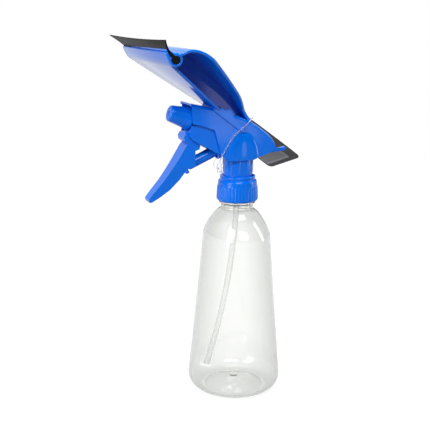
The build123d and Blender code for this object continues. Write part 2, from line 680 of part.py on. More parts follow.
loop_runs = [Vector(*end) - Vector(*start) for start, end in zip(loop_route, loop_route[1:])]
loop_radii = []
for before, after in zip(loop_runs, loop_runs[1:]):
    turn = radians(before.get_angle(after))
    loop_radii.append(LOOP_BEND * min(before.length, after.length) / tan(turn / 2))
print("loop radii", [round(r, 1) for r in loop_radii])

with BuildPart() as tag_loop:
    with BuildLine() as loop_line:
        FilletPolyline(*loop_route, radius=loop_radii)
    with BuildSketch(Plane(origin=loop_line.line @ 0, z_dir=loop_line.line % 0)):
        Circle(LOOP_R)
    sweep(path=loop_line.line)
finish("tag_loop", tag_loop)
loop_length = loop_line.wire().length
print("loop length", loop_length, "volume ratio", tag_loop.part.volume / (pi * LOOP_R ** 2 * loop_length))
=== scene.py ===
"""Looks of a trigger spray bottle with a squeegee arm on its head.

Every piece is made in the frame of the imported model, in metres: the origin is the middle of
the bottle's base on the surface it stands on, +Z is up, the nozzle sprays towards -X and the
squeegee blade lies along Y. Profiles are written in millimetres and scaled as they become
meshes.
"""

import math

import bmesh
import bpy
import numpy as np
from bpy.props import FloatProperty, FloatVectorProperty, IntProperty, PointerProperty
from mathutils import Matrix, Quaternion, Vector


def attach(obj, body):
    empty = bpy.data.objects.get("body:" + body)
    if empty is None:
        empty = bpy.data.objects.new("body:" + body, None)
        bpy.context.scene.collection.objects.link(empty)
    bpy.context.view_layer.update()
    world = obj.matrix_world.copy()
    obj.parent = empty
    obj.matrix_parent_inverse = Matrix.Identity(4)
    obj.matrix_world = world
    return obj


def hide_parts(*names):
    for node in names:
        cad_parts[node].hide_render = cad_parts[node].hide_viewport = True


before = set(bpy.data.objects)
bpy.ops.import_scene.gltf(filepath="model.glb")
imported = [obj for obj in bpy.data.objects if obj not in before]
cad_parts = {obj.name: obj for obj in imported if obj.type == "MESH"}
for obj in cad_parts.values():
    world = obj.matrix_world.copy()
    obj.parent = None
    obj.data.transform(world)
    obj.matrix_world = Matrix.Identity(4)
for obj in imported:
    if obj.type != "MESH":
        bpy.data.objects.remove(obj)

bl_info = {
    "name": "Squeegee Spray Bottle",
    "version": (1, 0, 0),
    "blender": (4, 5, 0),
    "location": "View3D > Sidebar > Spray Bottle",
    "description": "Builds the pieces, finishes and studio of a trigger spray bottle with a squeegee",
    "category": "Add Mesh",
}

MM = 0.001
EDGE_ANGLE = math.radians(30)


# ------------------------------------------------------------------------------ properties
def metres(name, description, default, low, high):
    """Setting for a length in metres."""
    return FloatProperty(name=name, description=description, default=default, min=low, max=high,
                         unit="LENGTH")


def tint(name, description, default):
    """Setting for a colour."""
    return FloatVectorProperty(name=name, description=description, subtype="COLOR", size=4,
                               min=0.0, max=1.0, default=default)


class BottleSizes(bpy.types.PropertyGroup):
    """Sizes of the blown bottle and its screw cap."""

    wall: metres("Wall", "Thickness of the bottle's wall", 0.0009, 0.0003, 0.003)
    punt_height: metres("Punt height", "Rise of the dome pushed up into the base", 0.008, 0.0, 0.02)
    rib_count: IntProperty(
        name="Cap ribs", description="Grip ribs round the cap", default=40, min=8, max=120)
    rib_height: metres("Rib height", "How far a grip rib stands out of the cap",
                       0.00035, 0.0, 0.001)


class HeadSizes(bpy.types.PropertyGroup):
    """Sizes of the glossy cover over the spray head."""

    shroud_half: metres("Shroud half width", "Half the width of the shroud", 0.012, 0.005, 0.02)
    shroud_wall: metres("Shroud wall", "Thickness of the shroud's wall", 0.0015, 0.0005, 0.003)
    bulge_radius: metres("Bulge radius", "Radius of the round bulge over the collar",
                         0.0139, 0.01, 0.02)


class ArmSizes(bpy.types.PropertyGroup):
    """Sizes of the squeegee arm and its blade."""

    foot_half: metres("Foot half width", "Half the arm's width where it leaves the shroud",
                      0.012, 0.005, 0.03)
    blade_half: metres("Blade half width", "Half the width of the squeegee", 0.054, 0.02, 0.15)
    plate: metres("Plate", "Thickness of the arm's two plates", 0.0022, 0.001, 0.004)


class TagSizes(bpy.types.PropertyGroup):
    """Sizes of the hang tag and the loop that ties it on."""

    length: metres("Length", "Long side of the tag", 0.066, 0.02, 0.2)
    width: metres("Width", "Short side of the tag", 0.042, 0.02, 0.2)
    thickness: metres("Thickness", "Thickness of the card", 0.0006, 0.0002, 0.002)
    loop_diameter: metres("Loop diameter", "Thickness of the nylon loop", 0.001, 0.0003, 0.002)
    loop_length: metres("Loop length", "Length of the loop from end to end", 0.156, 0.05, 0.5)


class Finishes(bpy.types.PropertyGroup):
    """Colours of the materials."""

    blue: tint("Blue plastic", "Colour of the moulded plastic", (0.0, 0.18, 0.88, 1.0))
    deep_blue: tint("Deep blue", "Colour of the plastic where it flowed thicker",
                    (0.0, 0.15, 0.78, 1.0))
    rubber: tint("Rubber", "Colour of the blade", (0.006, 0.006, 0.0065, 1.0))
    card: tint("Card", "Colour of the tag", (0.018, 0.018, 0.020, 1.0))
    panel: tint("Tag panel", "Colour of the pale panel on the tag", (0.42, 0.42, 0.44, 1.0))
    floor: tint("Floor", "Colour of the studio floor", (0.16, 0.16, 0.16, 1.0))


class StageSizes(bpy.types.PropertyGroup):
    """Camera and lights of the studio."""

    lens: FloatProperty(
        name="Lens", description="Focal length of the camera in millimetres", default=71.67,
        min=20.0, max=300.0)
    roll: FloatProperty(
        name="Camera roll", description="Turn of the camera about its own view",
        default=math.radians(0.86), subtype="ANGLE", unit="ROTATION")
    daylight: FloatProperty(
        name="Room light", description="Strength of the white surroundings", default=1.0,
        min=0.0, max=5.0)
    floor_glow: FloatProperty(
        name="Floor glow", description="Light that the floor itself gives off", default=0.88,
        min=0.0, max=2.0)
    softbox_power: FloatProperty(
        name="Softbox power", description="Power of a softbox with a full share, in watts",
        default=10.0, min=0.0, max=200.0, unit="POWER")


class SprayBottle(bpy.types.PropertyGroup):
    """All the settings of the spray bottle."""

    bottle: PointerProperty(type=BottleSizes)
    head: PointerProperty(type=HeadSizes)
    arm: PointerProperty(type=ArmSizes)
    tag: PointerProperty(type=TagSizes)
    finishes: PointerProperty(type=Finishes)
    stage: PointerProperty(type=StageSizes)


# ------------------------------------------------------------------------------ mesh tools
def quad_numbers(rows, cols, wrap_rows, wrap_cols):
    """Four point numbers for each face between neighbouring points of a grid.

    A wrapped direction joins its last line of points back to its first.
    """
    number = np.arange(rows * cols).reshape(rows, cols)
    if wrap_rows:
        number = np.vstack([number, number[:1]])
    if wrap_cols:
        number = np.hstack([number, number[:, :1]])
    corners = number[:-1, :-1], number[:-1, 1:], number[1:, 1:], number[1:, :-1]
    return np.stack(corners, axis=-1).reshape(-1, 4)


def grid_mesh(name, points, wrap_rows=False, wrap_cols=True, capped=False, uv=None, crease=40):
    """Mesh from a grid of points in millimetres, its faces turned outwards and its poles closed.

    The volume inside is the sum over the faces of the box products of their corners with the
    origin; where that comes out negative, the faces are turned over. Capped closes the first
    and last row with one flat face each. Edges sharper than the crease angle stay sharp.
    """
    rows, cols = points.shape[:2]
    corners = points.reshape(-1, 3) * MM
    faces = quad_numbers(rows, cols, wrap_rows, wrap_cols)
    a, b, c, d = (corners[faces[:, k]] for k in range(4))
    volume = (a * (np.cross(b, c) + np.cross(c, d))).sum()
    caps = []
    if capped:
        first, last = np.arange(cols), np.arange((rows - 1) * cols, rows * cols)
        for ring, turn in ((first, -1), (last, 1)):
            rim = corners[ring]
            fan = np.cross(rim[1:-1], rim[2:]) * rim[0]
            volume += turn * -fan.sum()
            caps.append(ring[::turn][::-1])
    turn = -1 if volume < 0 else 1
    numbers = faces[:, ::turn].tolist() + [ring[::turn].tolist() for ring in caps]
    mesh = bpy.data.meshes.new(name)
    mesh.from_pydata(corners.tolist(), [], numbers)
    if uv is not None:
        order = np.concatenate([np.asarray(face) for face in numbers])
        layer = mesh.uv_layers.new(name="UVMap")
        layer.data.foreach_set("uv", uv.reshape(-1, 2)[order].astype(np.float32).ravel())
    return welded(mesh, crease)


def welded(mesh, crease=40):
    """The mesh with points that lie on each other merged, smooth but for its sharp edges."""
    shape = bmesh.new()
    shape.from_mesh(mesh)
    bmesh.ops.remove_doubles(shape, verts=shape.verts, dist=1e-6)
    shape.to_mesh(mesh)
    shape.free()
    mesh.shade_smooth()
    mesh.set_sharp_from_angle(angle=math.radians(crease))
    return mesh


def joined(name, *meshes):
    """One mesh that holds several closed shells."""
    shape = bmesh.new()
    for part in meshes:
        shape.from_mesh(part)
        bpy.data.meshes.remove(part)
    mesh = bpy.data.meshes.new(name)
    shape.to_mesh(mesh)
    shape.free()
    mesh.shade_smooth()
    mesh.set_sharp_from_angle(angle=math.radians(40))
    return mesh


def smooth_line(points, per_span=8, closed=False):
    """Line through every point.

    Between two points it is the cubic that leaves each of them along the chord of its
    neighbours.
    """
    p = np.asarray(points, float)
    if closed:
        a, b, c, d = np.roll(p, 1, 0), p, np.roll(p, -1, 0), np.roll(p, -2, 0)
    else:
        q = np.vstack([2 * p[0] - p[1], p, 2 * p[-1] - p[-2]])
        a, b, c, d = q[:-3], q[1:-2], q[2:-1], q[3:]
    t = np.linspace(0, 1, per_span, endpoint=False)[:, None, None]
    cubic = (2 * b + (c - a) * t + (2 * a - 5 * b + 4 * c - d) * t ** 2
             + (3 * b - a - 3 * c + d) * t ** 3) / 2
    line = cubic.transpose(1, 0, 2).reshape(-1, p.shape[1])
    return line if closed else np.vstack([line, p[-1:]])


def evenly(points, step, closed=True):
    """The same outline with points about one step apart."""
    p = np.asarray(points, float)
    if closed:
        p = np.vstack([p, p[:1]])
    run = np.concatenate([[0], np.cumsum(np.linalg.norm(np.diff(p, axis=0), axis=1))])
    count = max(int(round(run[-1] / step)), 8)
    place = np.linspace(0, run[-1], count, endpoint=not closed)
    return np.column_stack([np.interp(place, run, p[:, k]) for k in range(p.shape[1])])


def softened(points, passes=2):
    """Closed outline with its corners rounded: each point moves to the mean of its span."""
    p = np.asarray(points, float)
    for _ in range(passes):
        p = (np.roll(p, 1, 0) + 2 * p + np.roll(p, -1, 0)) / 4
    return p


def softened_run(values, passes):
    """Open run of values with each one moved to the mean of its neighbours, ends kept."""
    run = np.array(values, float)
    for _ in range(passes):
        run[1:-1] = (run[:-2] + 2 * run[1:-1] + run[2:]) / 4
    return run


def normals_of(line, closed=False):
    """Unit normals of a flat line, a quarter turn to the left of its direction."""
    if closed:
        along = np.roll(line, -1, 0) - np.roll(line, 1, 0)
    else:
        along = np.gradient(line, axis=0)
    along = along / np.maximum(np.linalg.norm(along, axis=1, keepdims=True), 1e-9)
    return np.column_stack([-along[:, 1], along[:, 0]])


def arc(centre, radius, start, end, count):
    """Points on a circle from one angle in degrees to another."""
    angle = np.radians(np.linspace(start, end, count))
    return np.column_stack([centre[0] + radius * np.cos(angle),
                            centre[1] + radius * np.sin(angle)])


def slab(name, outline, low, high, rounding):
    """Plate with a rounded rim: an outline in X and Z carried along Y from low to high.

    Row by row the outline is first drawn in by the rounding times one minus the sine of an
    angle that opens from 0 to 90 degrees, then runs straight, then closes the same way.
    """
    ring = np.asarray(outline, float)
    area = np.sum(ring[:, 0] * np.roll(ring[:, 1], -1) - np.roll(ring[:, 0], -1) * ring[:, 1])
    inward = normals_of(ring, closed=True) * (1 if area > 0 else -1)
    angle = np.radians(np.linspace(0, 90, 5))
    draw = rounding * (1 - np.sin(angle))
    lift = rounding * (1 - np.cos(angle))
    draw = np.concatenate([draw, draw[::-1]])
    across = np.concatenate([low + lift, (high - lift)[::-1]])
    flat = ring[None] + inward[None] * draw[:, None, None]
    points = np.stack([flat[..., 0], np.broadcast_to(across[:, None], flat.shape[:2]),
                       flat[..., 1]], axis=-1)
    return grid_mesh(name, points, capped=True)


def plate(name, path, half_width, thickness, rounding=0.8):
    """Plate that follows a path in X and Z, as wide along Y as half_width says at each point.

    The section is a rounded rectangle across the path. At both ends four more rows close it:
    the thickness falls as the cosine of an angle while the path runs on by its sine.
    """
    path = np.asarray(path, float)
    half = np.broadcast_to(np.asarray(half_width, float), len(path))
    thick = np.broadcast_to(np.asarray(thickness, float), len(path))
    normal = normals_of(path)
    along = np.column_stack([normal[:, 1], -normal[:, 0]])
    turn = np.radians([90, 66, 42, 20])
    ends = []
    for k, sign in ((0, -1), (-1, 1)):
        run = path[k] + along[k] * sign * np.sin(turn)[:, None] * thick[k] / 2
        ends.append((run, np.repeat(normal[k][None], 4, 0), half[k] - thick[k] / 2
                     * (1 - np.cos(turn)) * 0.6, thick[k] * np.cos(turn)))
    (run0, n0, h0, t0), (run1, n1, h1, t1) = ends
    path = np.vstack([run0, path, run1[::-1]])
    normal = np.vstack([n0, normal, n1[::-1]])
    half = np.concatenate([h0, half, h1[::-1]])
    thick = np.concatenate([t0, thick, t1[::-1]])
    round_off = np.minimum(rounding, thick / 2)[:, None]
    angle = np.radians(np.concatenate([np.linspace(0, 90, 5), np.linspace(90, 180, 5),
                                       np.linspace(180, 270, 5), np.linspace(270, 360, 5)]))
    side_y = np.repeat([1, -1, -1, 1], 5)
    side_n = np.repeat([1, 1, -1, -1], 5)
    y = side_y * (half[:, None] - round_off) + round_off * np.cos(angle)
    n = side_n * (thick[:, None] / 2 - round_off) + round_off * np.sin(angle)
    x = path[:, None, 0] + normal[:, None, 0] * n
    z = path[:, None, 1] + normal[:, None, 1] * n
    return grid_mesh(name, np.stack([x, y, z], axis=-1))


def turned(name, profile, count, origin=(0, 0, 0), axis=(0, 0, 1), swell=None):
    """Closed ring turned about an axis from a closed profile of radius and height.

    A point at an angle stands at origin + axis * height + radius * (cos side + sin up), where
    side and up are square to the axis. Swell adds to the radius, as a function of height,
    radius and angle.
    """
    axis = np.asarray(axis, float)
    side = np.cross((0, 1, 0), axis)
    side = side / np.linalg.norm(side)
    up = np.cross(axis, side)
    angle = np.linspace(0, 2 * np.pi, count, endpoint=False)[None, :]
    radius, height = profile[:, 0][:, None], profile[:, 1][:, None]
    grown = radius + (swell(height, radius, angle) if swell else 0 * angle)
    points = (np.asarray(origin, float) + axis * height[..., None]
              + side * (grown * np.cos(angle))[..., None]
              + up * (grown * np.sin(angle))[..., None])
    return grid_mesh(name, points, wrap_rows=True)


def merged_copy(name, node):
    """Copy of a frame part with its doubled points merged, smooth but for its sharp edges."""
    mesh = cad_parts[node].data.copy()
    mesh.name = name
    mesh.materials.clear()
    shape = bmesh.new()
    shape.from_mesh(mesh)
    bmesh.ops.remove_doubles(shape, verts=shape.verts, dist=2e-6)
    bmesh.ops.dissolve_limit(shape, angle_limit=math.radians(0.5), verts=shape.verts,
                             edges=shape.edges)
    shape.to_mesh(mesh)
    shape.free()
    mesh.shade_smooth()
    mesh.set_sharp_from_angle(angle=EDGE_ANGLE)
    return mesh


def placed(name, data):
    """New object in the scene for a mesh, a curve, a light or a camera."""
    made = bpy.data.objects.new(name, data)
    bpy.context.scene.collection.objects.link(made)
    return made


def add_piece(name, mesh, body, material, replaces=()):
    """Put a mesh in the scene as a piece that rides on a body and takes the given material."""
    piece = placed(name, mesh)
    mesh.materials.clear()
    mesh.materials.append(material)
    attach(piece, body)
    if replaces:
        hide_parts(*replaces)
    return piece


def round_edges(piece, width):
    """Round the piece's sharp edges by a small width."""
    bevel = piece.modifiers.new("Rounded edges", "BEVEL")
    bevel.width = width
    bevel.segments = 3
    bevel.limit_method = "ANGLE"
    bevel.angle_limit = EDGE_ANGLE
    bevel.harden_normals = True
    bevel.use_clamp_overlap = True


# ------------------------------------------------------------------------------ materials
def new_group(name, inputs, outputs):
    """Empty shader group with its sockets, and its input and output nodes."""
    group = bpy.data.node_groups.new(name, "ShaderNodeTree")
    for label, kind, value in inputs:
        group.interface.new_socket(label, in_out="INPUT", socket_type=kind).default_value = value
    for label, kind in outputs:
        group.interface.new_socket(label, in_out="OUTPUT", socket_type=kind)
    return group, group.nodes.new("NodeGroupInput"), group.nodes.new("NodeGroupOutput")


def node(tree, kind, **values):
    """New node with its properties and unlinked sockets set by name."""
    made = tree.nodes.new(kind)
    for label, value in values.items():
        if label in made.inputs:
            made.inputs[label].default_value = value
        else:
            setattr(made, label, value)
    return made


def wire(tree, *links):
    """Join outputs to inputs; a link is the source, its output, the target and its input."""
    for source, output, target, inlet in links:
        tree.links.new(source.outputs[output], target.inputs[inlet])


def moulded_surface_group():
    """Colour, roughness and height of a moulded surface.

    Broad noise shades the colour from its own to the deep one. Finer noise gives the slight
    orange peel of a mould, and long thin noise gives the drawn marks that dull the gloss.
    """
    name = "Moulded surface"
    if name in bpy.data.node_groups:
        return bpy.data.node_groups[name]
    group, inlet, outlet = new_group(
        name,
        [("Color", "NodeSocketColor", (0.8, 0.8, 0.8, 1)),
         ("Deep Color", "NodeSocketColor", (0.5, 0.5, 0.5, 1)),
         ("Roughness", "NodeSocketFloat", 0.2), ("Dulling", "NodeSocketFloat", 0.1),
         ("Peel Scale", "NodeSocketFloat", 300.0), ("Cloud Scale", "NodeSocketFloat", 30.0)],
        [("Color", "NodeSocketColor"), ("Roughness", "NodeSocketFloat"),
         ("Height", "NodeSocketFloat")])
    place = node(group, "ShaderNodeTexCoord")
    clouds = node(group, "ShaderNodeTexNoise", Detail=3.0)
    peel = node(group, "ShaderNodeTexNoise", Detail=2.0)
    stretch = node(group, "ShaderNodeMapping", Scale=(1.0, 1.0, 0.12))
    marks = node(group, "ShaderNodeTexNoise", Scale=900.0, Detail=4.0)
    mix = node(group, "ShaderNodeMix", data_type="RGBA")
    dull = node(group, "ShaderNodeMath", operation="MULTIPLY_ADD")
    wire(group,
         (place, "Object", clouds, "Vector"),
         (inlet, "Cloud Scale", clouds, "Scale"),
         (place, "Object", peel, "Vector"),
         (inlet, "Peel Scale", peel, "Scale"),
         (place, "Object", stretch, "Vector"),
         (stretch, "Vector", marks, "Vector"),
         (clouds, "Fac", mix, "Factor"),
         (inlet, "Color", mix, "A"),
         (inlet, "Deep Color", mix, "B"),
         (marks, "Fac", dull, 0),
         (inlet, "Dulling", dull, 1),
         (inlet, "Roughness", dull, 2),
         (mix, "Result", outlet, "Color"),
         (dull, "Value", outlet, "Roughness"),
         (peel, "Fac", outlet, "Height"))
    return group


def moulded(name, color, deep, roughness, dulling, peel=400.0, clouds=25.0, bump=0.02,
            **shader_values):
    """Material of a moulded, pressed or extruded piece on the shared surface group."""
    if name in bpy.data.materials:
        return bpy.data.materials[name]
    material = bpy.data.materials.new(name)
    material.use_nodes = True
    tree = material.node_tree
    shader = tree.nodes["Principled BSDF"]
    for label, value in shader_values.items():
        shader.inputs[label.replace("_", " ")].default_value = value
    surface = node(tree, "ShaderNodeGroup", node_tree=moulded_surface_group())
    surface.inputs["Color"].default_value = color
    surface.inputs["Deep Color"].default_value = deep
    surface.inputs["Roughness"].default_value = roughness
    surface.inputs["Dulling"].default_value = dulling
    surface.inputs["Peel Scale"].default_value = peel
    surface.inputs["Cloud Scale"].default_value = clouds
    relief = node(tree, "ShaderNodeBump", Strength=bump, Distance=0.0005)
    wire(tree,
         (surface, "Color", shader, "Base Color"),
         (surface, "Roughness", shader, "Roughness"),
         (surface, "Height", relief, "Height"),
         (relief, "Normal", shader, "Normal"))
    return material


def glossy_blue():
    """Polished blue plastic of the shroud and the arm."""
    f = bpy.context.scene.spray_bottle.finishes
    return moulded("Glossy blue plastic", f.blue, f.deep_blue, 0.06, 0.04, peel=90.0,
                   bump=0.025, IOR=1.5)


def satin_blue():
    """Satin blue plastic of the cap, the trigger and the nozzle."""
    f = bpy.context.scene.spray_bottle.finishes
    return moulded("Satin blue plastic", f.blue, f.deep_blue, 0.17, 0.05, peel=300.0,
                   bump=0.02, IOR=1.4)


def clear_pet():
    """Clear blown plastic of the bottle, very slightly green."""
    material = moulded("Clear blown plastic", (0.975, 0.978, 0.965, 1),
                       (0.96, 0.965, 0.95, 1), 0.015, 0.03, peel=60.0, clouds=15.0, bump=0.02,
                       Transmission_Weight=1.0, IOR=1.46)
    # Painted shade: a grey mixed in at grazing angles stands in for the darker rims that refraction
    # gives.
    return painted_edge_shade(material, (0.50, 0.52, 0.50, 1), 0.45)


def painted_edge_shade(material, color, blend):
    """Painted shade: deepen a clear material's colour where it is seen along its wall."""
    tree = material.node_tree
    if "Edge depth" in tree.nodes:
        return material
    shader = tree.nodes["Principled BSDF"]
    surface = next(n for n in tree.nodes if n.type == "GROUP")
    # Painted shade: the facing weight mixes the grey in towards the rims, in place of the dark edges
    # that refraction gives.
    edge = node(tree, "ShaderNodeLayerWeight", Blend=blend)
    depth = node(tree, "ShaderNodeMix", data_type="RGBA")
    depth.name = "Edge depth"
    depth.inputs["B"].default_value = color
    wire(tree,
         (edge, "Facing", depth, "Factor"),
         (surface, "Color", depth, "A"),
         (depth, "Result", shader, "Base Color"))
    return material


def clear_nylon():
    """Clear nylon of the tag's loop and lock."""
    return moulded("Clear nylon", (0.96, 0.97, 0.98, 1), (0.93, 0.95, 0.97, 1), 0.1, 0.08,
                   peel=1200.0, bump=0.05, Transmission_Weight=0.9, IOR=1.3)


def natural_pe():
    """Milky uncoloured plastic of the inner pump pieces."""
    return moulded("Natural milky plastic", (0.86, 0.88, 0.87, 1), (0.78, 0.81, 0.80, 1), 0.25,
                   0.12, peel=700.0, bump=0.05, Transmission_Weight=0.75, IOR=1.45)


def tube_pe():
    """Thin see-through plastic of the dip tube."""
    material = moulded("Thin tube plastic", (0.97, 0.975, 0.97, 1), (0.955, 0.96, 0.955, 1), 0.1,
                       0.08, peel=700.0, bump=0.03, Transmission_Weight=1.0, IOR=1.25)
    # Painted shade: a grey mixed in at grazing angles stands in for the darker rims that refraction
    # gives.
    return painted_edge_shade(material, (0.72, 0.73, 0.72, 1), 0.5)


def blade_rubber():
    """Satin black rubber of the squeegee blade."""
    f = bpy.context.scene.spray_bottle.finishes
    return moulded("Blade rubber", f.rubber, (0.010, 0.010, 0.011, 1), 0.38, 0.2, peel=500.0,
                   bump=0.04, IOR=1.2)


def seal_rubber():
    """Pale grey rubber of the hidden seals."""
    return moulded("Seal rubber", (0.45, 0.45, 0.44, 1), (0.38, 0.38, 0.37, 1), 0.45, 0.2,
                   peel=700.0, bump=0.05)


def spring_steel():
    """Drawn steel wire of the return spring."""
    return moulded("Spring steel", (0.62, 0.62, 0.61, 1), (0.5, 0.5, 0.49, 1), 0.22, 0.2,
                   peel=2000.0, bump=0.05, Metallic=1.0)


def tag_card_finish():
    """Dark card with a pale panel of plain upright bars.

    The card's own map holds the distance along and across it in millimetres. The panel is
    where both distances lie within its borders, and the bars are where the saw-toothed
    distance across the card is above a share that changes from bar to bar.
    """
    name = "Printed card"
    if name in bpy.data.materials:
        return bpy.data.materials[name]
    f = bpy.context.scene.spray_bottle.finishes
    material = moulded(name, f.card, (0.026, 0.026, 0.029, 1), 0.33, 0.2, peel=1500.0,
                       bump=0.03, Coat_Weight=0.1, Coat_Roughness=0.15, IOR=1.35)
    tree = material.node_tree
    link = tree.links.new
    shader = tree.nodes["Principled BSDF"]
    surface = next(n for n in tree.nodes if n.type == "GROUP")
    place = node(tree, "ShaderNodeUVMap", uv_map="UVMap")
    parts = node(tree, "ShaderNodeSeparateXYZ")
    link(place.outputs["UV"], parts.inputs["Vector"])
    ink = node(tree, "ShaderNodeMix", data_type="RGBA")
    ink.inputs["B"].default_value = f.panel
    bars = node(tree, "ShaderNodeMix", data_type="RGBA")
    bars.inputs["B"].default_value = (0.05, 0.05, 0.055, 1)

    def between(source, low, high):
        """One where the source lies between two values."""
        above = node(tree, "ShaderNodeMath", operation="GREATER_THAN")
        above.inputs[1].default_value = low
        below = node(tree, "ShaderNodeMath", operation="LESS_THAN")
        below.inputs[1].default_value = high
        both = node(tree, "ShaderNodeMath", operation="MULTIPLY")
        link(source, above.inputs[0])
        link(source, below.inputs[0])
        wire(tree,
             (above, "Value", both, 0),
             (below, "Value", both, 1))
        return both.outputs["Value"]

    def product(first, second):
        """First value times the second."""
        both = node(tree, "ShaderNodeMath", operation="MULTIPLY")
        link(first, both.inputs[0])
        link(second, both.inputs[1])
        return both.outputs["Value"]

    along, across = parts.outputs["X"], parts.outputs["Y"]
    panel = product(between(along, 0.48, 0.615), between(across, 0.10, 0.40))
    field = product(between(along, 0.49, 0.595), between(across, 0.115, 0.385))
    comb = node(tree, "ShaderNodeMath", operation="WRAP")
    comb.inputs[1].default_value = 0.034
    comb.inputs[2].default_value = 0.0
    link(across, comb.inputs[0])
    stripe = product(field, between(comb.outputs["Value"], 0.0, 0.016))
    link(surface.outputs["Color"], ink.inputs["A"])
    link(panel, ink.inputs["Factor"])
    link(ink.outputs["Result"], bars.inputs["A"])
    link(stripe, bars.inputs["Factor"])
    link(bars.outputs["Result"], shader.inputs["Base Color"])
    return material


# ------------------------------------------------------------------------------ stage
def soft_room(strength):
    """White room that is bright behind the object and dim in front of it.

    The brightness of a direction rises smoothly with its share towards the back wall; the
    backdrop itself is plain white.
    """
    world = bpy.data.worlds.new("Soft white room")
    world.use_nodes = True
    tree = world.node_tree
    sky = tree.nodes["Background"]
    sky.inputs["Strength"].default_value = strength
    place = node(tree, "ShaderNodeTexCoord")
    share = node(tree, "ShaderNodeVectorMath", operation="DOT_PRODUCT")
    share.inputs[1].default_value = (0.40, 0.90, -0.05)
    fade = node(tree, "ShaderNodeMapRange", interpolation_type="SMOOTHSTEP")
    for label, value in zip(("From Min", "From Max", "To Min", "To Max"), (0.1, 0.9, 0.03, 0.97)):
        fade.inputs[label].default_value = value
    rays = node(tree, "ShaderNodeLightPath")
    most = node(tree, "ShaderNodeMath", operation="MAXIMUM")
    wire(tree,
         (place, "Generated", share, 0),
         (share, "Value", fade, "Value"),
         (fade, "Result", most, 0),
         (rays, "Is Camera Ray", most, 1),
         (most, "Value", sky, "Color"))
    return world


def glowing_floor(color, glow):
    """Pale floor that glows evenly where it is seen directly or through a clear piece.

    In reflections its glow rises smoothly from the front to the back of the object.
    """
    material = moulded("Pale studio floor", color, color, 0.6, 0.1, peel=90.0, bump=0.01,
                       Emission_Color=(1, 1, 1, 1))
    tree = material.node_tree
    rays = node(tree, "ShaderNodeLightPath")
    seen = node(tree, "ShaderNodeMath", operation="MAXIMUM")
    strength = node(tree, "ShaderNodeMath", operation="MULTIPLY_ADD")
    strength.inputs[1].default_value = glow * 0.85
    strength.inputs[2].default_value = glow * 0.15
    place = node(tree, "ShaderNodeTexCoord")
    parts = node(tree, "ShaderNodeSeparateXYZ")
    behind = node(tree, "ShaderNodeMapRange", interpolation_type="SMOOTHSTEP")
    behind.inputs["From Min"].default_value = -0.3
    behind.inputs["From Max"].default_value = 0.25
    mirrored = node(tree, "ShaderNodeMath", operation="MULTIPLY")
    any_ray = node(tree, "ShaderNodeMath", operation="MAXIMUM")
    wire(tree,
         (place, "Object", parts, "Vector"),
         (parts, "Y", behind, "Value"),
         (behind, "Result", mirrored, 0),
         (rays, "Is Glossy Ray", mirrored, 1),
         (rays, "Is Camera Ray", seen, 0),
         (rays, "Is Transmission Ray", seen, 1),
         (seen, "Value", any_ray, 0),
         (mirrored, "Value", any_ray, 1),
         (any_ray, "Value", strength, 0))
    shader = tree.nodes["Principled BSDF"]
    tree.links.new(strength.outputs["Value"], shader.inputs["Emission Strength"])
    return material


class MakeStage(bpy.types.Operator):
    """Lay the pale floor, light the room and set the camera."""

    bl_idname = "spraybottle.stage"
    bl_label = "Studio"

    def execute(self, context):
        settings = context.scene.spray_bottle.stage
        finishes = context.scene.spray_bottle.finishes
        context.scene.view_settings.view_transform = "Standard"
        angle = np.linspace(0, 2 * np.pi, 96, endpoint=False)[None, :]
        radius = np.array([0.0, 300.0, 1200.0, 9000.0])[:, None]
        disc = np.stack([radius * np.cos(angle), radius * np.sin(angle), 0 * radius * angle],
                        axis=-1)
        mesh = grid_mesh("floor", disc)
        if mesh.polygons[0].normal.z < 0:
            mesh.flip_normals()
        floor = placed("floor", mesh)
        mesh.materials.append(glowing_floor(finishes.floor, settings.floor_glow))

        context.scene.world = soft_room(settings.daylight)
        softboxes = (("key_softbox", (-0.95, -0.35, 0.55), 0.4, 1.1, 0.75),
                     ("side_softbox", (0.95, -0.25, 0.5), 0.25, 1.1, 0.35),
                     ("top_softbox", (0.0, 0.1, 1.2), 0.7, 0.7, 0.8),
                     ("front_softbox", (-0.25, -0.95, 1.05), 0.7, 0.5, 1.0),
                     ("low_card", (0.39, -0.92, 0.14), 0.10, 0.15, 0.006))
        for name, where, width, height, share in softboxes:
            light = bpy.data.lights.new(name, "AREA")
            light.shape = "RECTANGLE"
            light.size, light.size_y = width, height
            light.energy = settings.softbox_power * share
            lamp = placed(name, light)
            lamp.location = where
            aim = Vector((0, 0, 0.18)) - Vector(where)
            lamp.rotation_euler = aim.to_track_quat("-Z", "Y").to_euler()

        lens = bpy.data.cameras.new("view_camera")
        lens.lens = settings.lens
        lens.sensor_width = 36.0
        lens.clip_start, lens.clip_end = 0.01, 20.0
        camera = placed("view_camera", lens)
        eye, target = Vector((-0.2842, -0.6371, 0.3182)), Vector((-0.01972, 0.0, 0.15307))
        facing = (target - eye).to_track_quat("-Z", "Y")
        camera.rotation_mode = "QUATERNION"
        camera.rotation_quaternion = facing @ Quaternion((0, 0, 1), settings.roll)
        camera.location = eye
        context.scene.camera = camera
        return {"FINISHED"}


# ------------------------------------------------------------------------------ tag
LOOP_ROUTE = (
    (-22.4, -15.2, 199.4), (-22.2, -15.2, 203.2), (-18.8, -15.6, 208.6), (-15.2, -15.8, 215.0),
    (-11.0, -16.0, 221.0), (-5.4, -16.2, 225.6), (1.0, -16.2, 230.0), (5.4, -13.6, 234.0),
    (8.8, -7.8, 233.6), (10.8, -1.0, 232.0), (12.2, 6.4, 231.6), (13.4, 12.4, 232.8),
    (14.2, 17.6, 232.6), (14.16, 19.6, 228.2), (12.4, 19.4, 221.6), (7.0, 18.2, 215.2),
    (-1.0, 17.0, 208.8), (-9.0, 16.2, 202.2), (-15.6, 12.8, 196.8), (-19.8, 5.4, 194.2),
    (-21.8, -2.6, 194.0), (-22.4, -9.4, 194.6), (-22.4, -14.0, 194.6))

